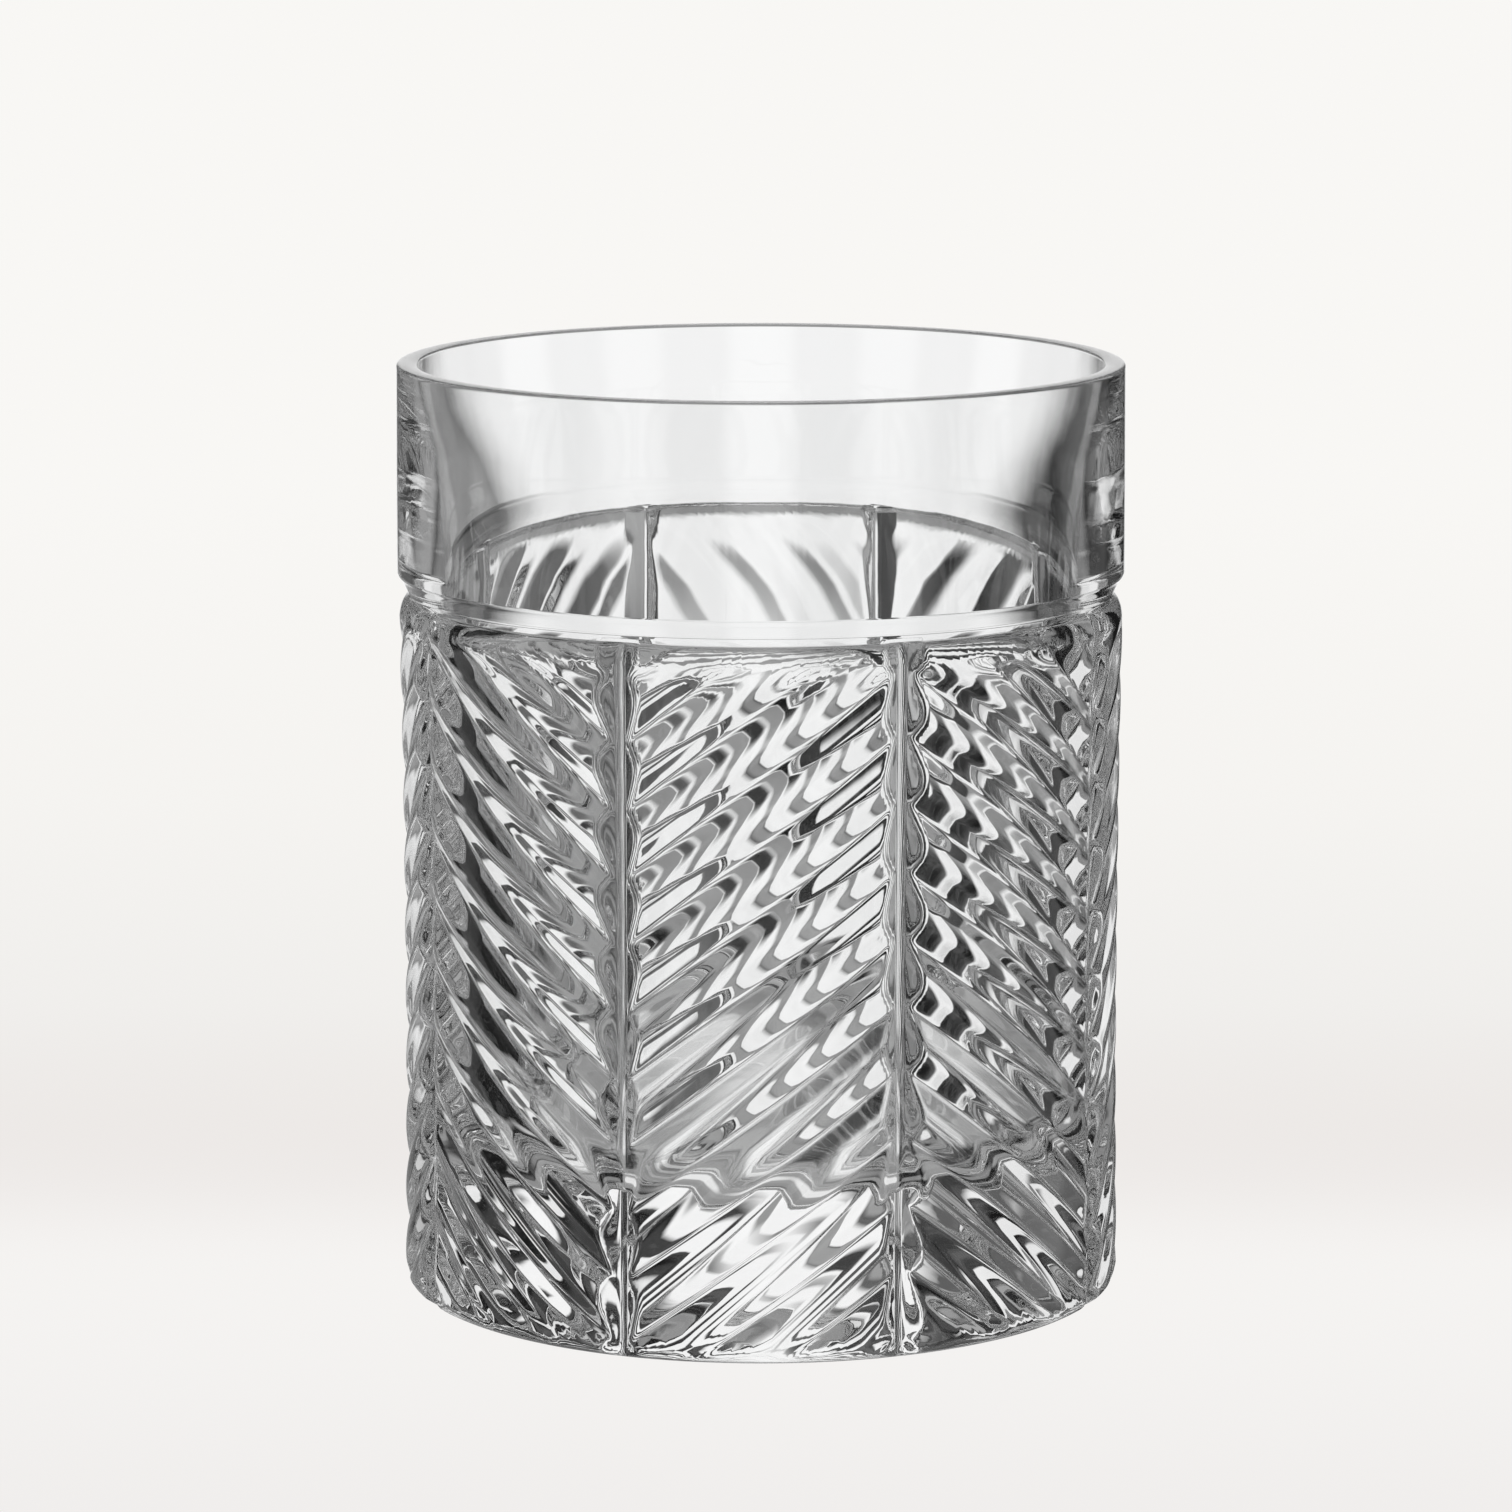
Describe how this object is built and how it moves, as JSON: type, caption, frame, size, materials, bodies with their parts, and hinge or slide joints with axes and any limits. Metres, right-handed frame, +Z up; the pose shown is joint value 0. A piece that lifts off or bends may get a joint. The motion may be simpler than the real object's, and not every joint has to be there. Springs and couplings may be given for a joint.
{
  "type": "whiskey tumbler",
  "caption": "Clear pressed-glass tumbler with a plain band at the mouth, a turned groove, upright panels of slanting ribs in a herringbone, and a thick solid base.",
  "frame": {"origin": "centre of the foot, on the surface that the tumbler stands on", "axes": "+Z up through the mouth; -Y is the front, the middle of a panel whose ribs rise to the right"},
  "size_m": [0.0804, 0.0804, 0.1034],
  "materials": {
    "clear_glass": "colourless pressed glass, fire-polished, high gloss, fully clear"
  },
  "bodies": {
    "root": {"glass_body": "clear_glass"}
  },
  "joints": []
}
